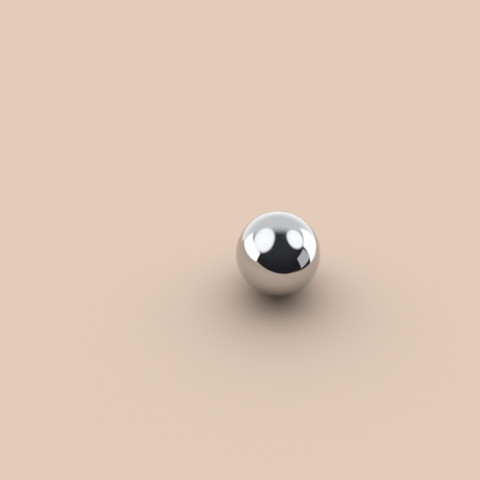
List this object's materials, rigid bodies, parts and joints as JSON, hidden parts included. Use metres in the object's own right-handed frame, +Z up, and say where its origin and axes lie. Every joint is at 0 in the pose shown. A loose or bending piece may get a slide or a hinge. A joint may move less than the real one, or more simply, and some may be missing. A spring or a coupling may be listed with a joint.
{
  "type": "steel ball",
  "caption": "Solid steel sphere with a mirror finish that rolls in a raceway, seats in a cup or ring, or serves as a loose weight.",
  "frame": {"origin": "centre of the ball", "axes": "+Z up; the ball is the same about every axis, and -Z points to where a cup or ring carries it"},
  "size_m": [0.03, 0.03, 0.03],
  "materials": {
    "polished_steel": "polished"
  },
  "bodies": {
    "root": {"steel_ball": "polished_steel"}
  },
  "joints": []
}
